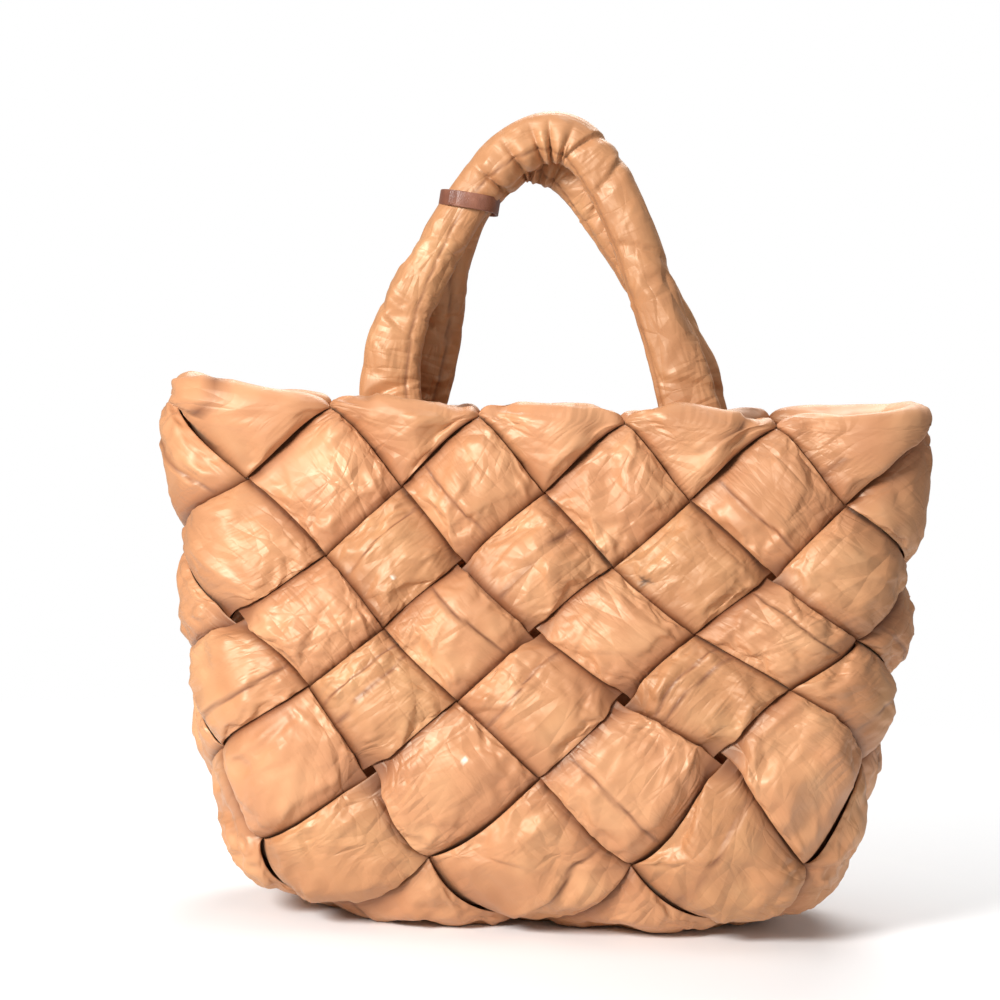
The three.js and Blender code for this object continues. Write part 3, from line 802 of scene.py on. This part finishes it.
def facets(scale, turned, slope, where):  # distance to the nearest fold, in metres
    stretch = crinkle.nodes.new("ShaderNodeMapping")
    stretch.inputs["Scale"].default_value = scale
    stretch.inputs["Rotation"].default_value = (0, 0, turned)
    crinkle.links.new(uv.outputs["UV"], stretch.inputs["Vector"])
    cells = crinkle.nodes.new("ShaderNodeTexVoronoi")
    cells.feature = "DISTANCE_TO_EDGE"
    cells.inputs["Scale"].default_value = 1
    crinkle.links.new(stretch.outputs["Vector"], cells.inputs["Vector"])
    scaled = crinkle.nodes.new("ShaderNodeMath")
    scaled.operation = "MULTIPLY"
    crinkle.links.new(cells.outputs["Distance"], scaled.inputs[0])
    top = slope / max(scale)
    patch = mapRange(crinkle, where, facetPatch["low"], facetPatch["high"], facetPatch["least"] * top, top)
    crinkle.links.new(patch, scaled.inputs[1])
    return scaled.outputs["Value"]


folds = [facets(scale, turned, slope, patches(patch, 1)) for scale, turned, slope, patch in foldSizes]
height = folds[0]
for more in folds[1:]:
    total = crinkle.nodes.new("ShaderNodeMath")
    crinkle.links.new(height, total.inputs[0])
    crinkle.links.new(more, total.inputs[1])
    height = total.outputs["Value"]
bump = crinkle.nodes.new("ShaderNodeBump")
bump.inputs["Strength"].default_value = 1
bump.inputs["Distance"].default_value = 1
crinkle.links.new(height, bump.inputs["Height"])
crinkle.links.new(bump.outputs["Normal"], out.inputs["Normal"])
crinkle.links.new(patches(22, 2), out.inputs["Tone"])
crinkle.links.new(patches(60, 2), out.inputs["Gloss"])

nylon, nodes, links = newMaterial("camel_nylon")
shader = nodes["Principled BSDF"]
cloth = nodes.new("ShaderNodeGroup")
cloth.node_tree = crinkle
camel = ramp(nylon.node_tree, cloth.outputs["Tone"], (
    (0.3, (0.5, 0.218, 0.098, 1)), (0.5, (0.57, 0.262, 0.12, 1)), (0.7, (0.64, 0.325, 0.156, 1))))
# painted shade: darker where a strip dives under its neighbour and in the gaps between the strips, full
# colour where it lies on top, and the lining faces held lighter
paintedDiveShade = ramp(nylon.node_tree, pointAttribute(nylon.node_tree, "shown"), (
    (0.12, (0.34, 0.22, 0.16, 1)), (0.5, (0.84, 0.78, 0.75, 1)), (0.9, (1, 1, 1, 1))))
# painted sheen by the lean of a strip, one way yellower and darker, the other pinker, with a tone that
# differs at random from crossing to crossing; the handles have no value and take the darker end
paintedSheenAndTone = ramp(nylon.node_tree, pointAttribute(nylon.node_tree, "paintedSheenAndTone"), (
    (0, (0.88, 0.86, 0.79, 1)), (1, (1, 0.97, 0.96, 1))))
colour = camel
for part in (paintedDiveShade, paintedSheenAndTone):
    tint = nodes.new("ShaderNodeMix")
    tint.data_type, tint.blend_type = "RGBA", "MULTIPLY"
    tint.inputs["Factor"].default_value = 1
    links.new(colour, tint.inputs["A"])
    links.new(part, tint.inputs["B"])
    colour = tint.outputs["Result"]
# line: painted shadow under the pleats' lapped edges and painted shade in the handles' gather notches, plus
# the dark seam of the handles; scuff: a worn snag; speck: pale specks
marks = (
    ("line", (0.2, 0.066, 0.026, 1)), ("scuff", (0.09, 0.04, 0.022, 1)), ("speck", (0.85, 0.78, 0.66, 1)),
)
for key, shown in marks:
    marked = nodes.new("ShaderNodeMix")
    marked.data_type = "RGBA"
    marked.inputs["B"].default_value = shown
    links.new(pointAttribute(nylon.node_tree, key), marked.inputs["Factor"])
    links.new(colour, marked.inputs["A"])
    colour = marked.outputs["Result"]
links.new(colour, shader.inputs["Base Color"])
satin = mapRange(nylon.node_tree, cloth.outputs["Gloss"], 0.3, 0.7, 0.44, 0.6)
links.new(satin, shader.inputs["Roughness"])
links.new(cloth.outputs["Normal"], shader.inputs["Normal"])
shader.inputs["Specular IOR Level"].default_value = 0.9
shader.inputs["Specular Tint"].default_value = (1, 0.92, 0.74, 1)
shader.inputs["Sheen Weight"].default_value = 0.12
shader.inputs["Sheen Tint"].default_value = (1, 0.8, 0.55, 1)

# leather: fine grain, a little lighter where it is rubbed
grain, out = newGroup("leather_grain", (("Rub", "NodeSocketFloat"), ("Normal", "NodeSocketVector")))
place = grain.nodes.new("ShaderNodeTexCoord")
cells = grain.nodes.new("ShaderNodeTexVoronoi")
cells.inputs["Scale"].default_value = 1300
rub = grain.nodes.new("ShaderNodeTexNoise")
rub.inputs["Scale"].default_value = 90
for node in (cells, rub):
    grain.links.new(place.outputs["Object"], node.inputs["Vector"])
bump = grain.nodes.new("ShaderNodeBump")
bump.inputs["Strength"].default_value = 0.3
bump.inputs["Distance"].default_value = 0.0004
grain.links.new(cells.outputs["Distance"], bump.inputs["Height"])
grain.links.new(bump.outputs["Normal"], out.inputs["Normal"])
grain.links.new(rub.outputs["Fac"], out.inputs["Rub"])
leather, nodes, links = newMaterial("brown_leather")
shader = nodes["Principled BSDF"]
hide = nodes.new("ShaderNodeGroup")
hide.node_tree = grain
brown = ramp(leather.node_tree, hide.outputs["Rub"], (
    (0.35, (0.17, 0.058, 0.032, 1)), (0.7, (0.29, 0.115, 0.068, 1))))
links.new(brown, shader.inputs["Base Color"])
links.new(hide.outputs["Normal"], shader.inputs["Normal"])
shader.inputs["Roughness"].default_value = 0.4

for soft in strips + handles:
    piece = soft["piece"]
    piece.data.materials.append(nylon)
    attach(piece, "root")
    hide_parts(soft["node"])

keeperBand = {"x": -0.0568, "z": 0.457, "halfWidth": 0.0172, "halfDepth": 0.0272, "square": 3, "band": 0.01,
              "thickness": 0.002, "edge": 0.0005, "tilt": 7}
keeperEnd = {"size": (0.009, 0.0014, 0.0088), "left": 0.42, "sunk": 0.955, "edge": 0.0006}


def squarish(value):
    return math.copysign(abs(value) ** (2 / keeperBand["square"]), value)


def rounded(piece, width):
    rounding = piece.modifiers.new("Rounding", "BEVEL")
    rounding.width = width
    rounding.segments = 3
    applyModifier(piece, "Rounding")


bpy.ops.object.select_all(action="DESELECT")
bpy.ops.mesh.primitive_cylinder_add(vertices=72, radius=1, depth=keeperBand["band"], end_fill_type="NOTHING")
keeper = bpy.context.object
keeper.name = "keeper_band"
for vertex in keeper.data.vertices:
    angle = math.atan2(vertex.co.y, vertex.co.x)
    vertex.co.x = squarish(math.cos(angle)) * keeperBand["halfWidth"]
    vertex.co.y = squarish(math.sin(angle)) * keeperBand["halfDepth"]
wall = keeper.modifiers.new("Wall", "SOLIDIFY")
wall.thickness = keeperBand["thickness"]
wall.offset = 1
applyModifier(keeper, "Wall")
rounded(keeper, keeperBand["edge"])
bpy.ops.object.shade_smooth()
# the strap's end, lapped over the band at the left
bpy.ops.object.select_all(action="DESELECT")
bpy.ops.mesh.primitive_cube_add(size=1)
strapEnd = bpy.context.object
strapEnd.name = "keeper_end"
for vertex in strapEnd.data.vertices:
    vertex.co.x = vertex.co.x * keeperEnd["size"][0] - keeperBand["halfWidth"] * keeperEnd["left"]
    onBand = keeperBand["halfDepth"] * keeperEnd["sunk"]
    vertex.co.y = vertex.co.y * keeperEnd["size"][1] - onBand - keeperBand["thickness"]
    vertex.co.z *= keeperEnd["size"][2]
rounded(strapEnd, keeperEnd["edge"])
bpy.ops.object.shade_smooth_by_angle(angle=math.radians(40))
tilt = Matrix.Rotation(math.radians(keeperBand["tilt"]), 4, "Y")
place = Matrix.Translation((keeperBand["x"], 0, keeperBand["z"])) @ tilt
for piece in (keeper, strapEnd):
    piece.data.transform(place)
    piece.data.materials.append(leather)
    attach(piece, "root")
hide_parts("handle_keeper")
print("keeper fitted")

# floor that fades out into a white studio, and soft light
stageLook = {"half": 3.0, "fadeFrom": 0.34, "fadeTo": 1.0, "glow": 0.22}
bpy.ops.object.select_all(action="DESELECT")
bpy.ops.mesh.primitive_plane_add(size=2 * stageLook["half"])
floor = bpy.context.object
floor.name = "studio_floor"
pale, nodes, links = newMaterial("pale_floor")
shader = nodes["Principled BSDF"]
shader.inputs["Base Color"].default_value = (0.9, 0.9, 0.9, 1)
shader.inputs["Roughness"].default_value = 0.9
spot = nodes.new("ShaderNodeTexCoord")
gone = nodes.new("ShaderNodeVectorMath")
gone.operation = "LENGTH"
links.new(spot.outputs["Object"], gone.inputs[0])
fade = mapRange(pale.node_tree, gone.outputs["Value"], stageLook["fadeFrom"], stageLook["fadeTo"], 1, 0)
links.new(fade, shader.inputs["Alpha"])
floor.data.materials.append(pale)

world = bpy.data.worlds.new("studio")
scene.world = world
world.use_nodes = True
sky = world.node_tree.nodes["Background"]
sky.inputs["Color"].default_value = (1, 1, 1, 1)
seen = world.node_tree.nodes.new("ShaderNodeLightPath")
# white behind the bag, dimmer as a light
glow = mapRange(world.node_tree, seen.outputs["Is Camera Ray"], 0, 1, stageLook["glow"], 1)
world.node_tree.links.new(glow, sky.inputs["Strength"])


def softLight(name, at, aim, size, power):
    data = bpy.data.lights.new(name, "AREA")
    data.shape = "DISK"
    data.size = size
    data.energy = power
    lamp = bpy.data.objects.new(name, data)
    lamp.location = at
    lamp.rotation_euler = (Vector(aim) - Vector(at)).to_track_quat("-Z", "Y").to_euler()
    scene.collection.objects.link(lamp)


softLight("key", (-0.95, -1.3, 0.95), (0, 0, 0.2), 0.6, 43)
softLight("fill", (1.3, -1.4, 0.9), (0, 0, 0.2), 0.9, 4)
softLight("top", (0.2, -0.2, 1.7), (0, 0, 0.2), 0.8, 4)
softLight("rear", (0.2, 1.1, 1.5), (0.1, 0.6, 0), 1.2, 26)

cameraLook = {"from": (0.0286, -1.5168, 0.348), "aim": (-0.03, 0, 0.267), "roll": 2.18, "lens": 84.7}
camera = bpy.data.objects.new("camera", bpy.data.cameras.new("camera"))
scene.collection.objects.link(camera)
look = (Vector(cameraLook["aim"]) - Vector(cameraLook["from"])).to_track_quat("-Z", "Y").to_matrix().to_4x4()
roll = Matrix.Rotation(math.radians(cameraLook["roll"]), 4, "Z")
camera.matrix_world = Matrix.Translation(cameraLook["from"]) @ look @ roll
camera.data.lens = cameraLook["lens"]
scene.camera = camera
scene.view_settings.view_transform = "Standard"

print("scene ready")
